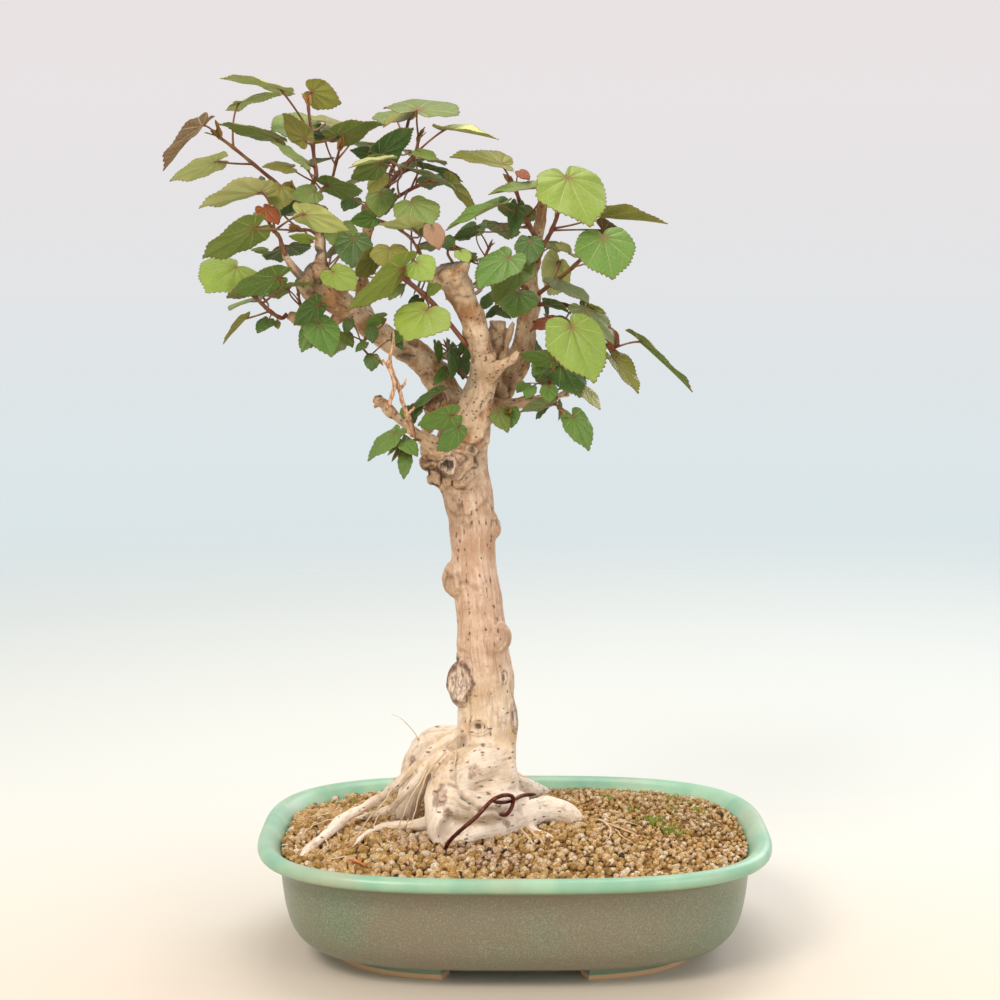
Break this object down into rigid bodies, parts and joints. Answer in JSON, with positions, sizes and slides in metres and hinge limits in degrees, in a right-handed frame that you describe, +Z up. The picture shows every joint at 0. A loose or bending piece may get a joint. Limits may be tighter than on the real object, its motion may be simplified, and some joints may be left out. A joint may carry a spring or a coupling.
{
  "type": "sea hibiscus bonsai",
  "caption": "Slender upright sea hibiscus bonsai with forked branches of heart-shaped leaves and spreading surface roots, in a shallow oval glazed pot on foot arcs.",
  "frame": {"origin": "middle of the whole object's box in X and Y, on the surface that the pot stands on", "axes": "+Z up the tree, +X to the right and -Y towards the viewer, as seen from the tree's front"},
  "size_m": [0.3458, 0.225, 0.5059],
  "materials": {
    "glaze": "gloss",
    "soil": "matte",
    "screen": "matte",
    "bark": "matte",
    "wire": "satin",
    "foliage": "satin"
  },
  "bodies": {
    "root": {"pot": "glaze", "soil": "soil", "drain_mesh_left": "screen", "drain_mesh_right": "screen", "trunk": "bark", "wire": "wire", "shoot_far_left": "foliage", "shoot_top_left": "foliage", "shoot_inner_left": "foliage", "shoot_mid_left": "foliage", "shoot_pale_side": "foliage", "shoot_pale_top": "foliage", "shoot_lower_left": "foliage", "shoot_under_left": "foliage", "shoot_branch_under": "foliage", "shoot_pale_mid": "foliage", "shoot_centre_left": "foliage", "shoot_middle_front": "foliage", "shoot_middle_back": "foliage", "shoot_middle_right": "foliage", "shoot_middle_low": "foliage", "shoot_right_top_left": "foliage", "shoot_right_top": "foliage", "shoot_right_mid": "foliage", "shoot_right_low": "foliage", "shoot_low_right": "foliage", "shoot_low_right_tip": "foliage", "shoot_under_right": "foliage", "shoot_right_inner": "foliage", "shoot_orange": "foliage", "shoot_knob": "foliage", "shoot_behind_centre": "foliage", "shoot_crotch": "foliage", "shoot_burl": "foliage", "shoot_low_left": "foliage"}
  },
  "joints": []
}
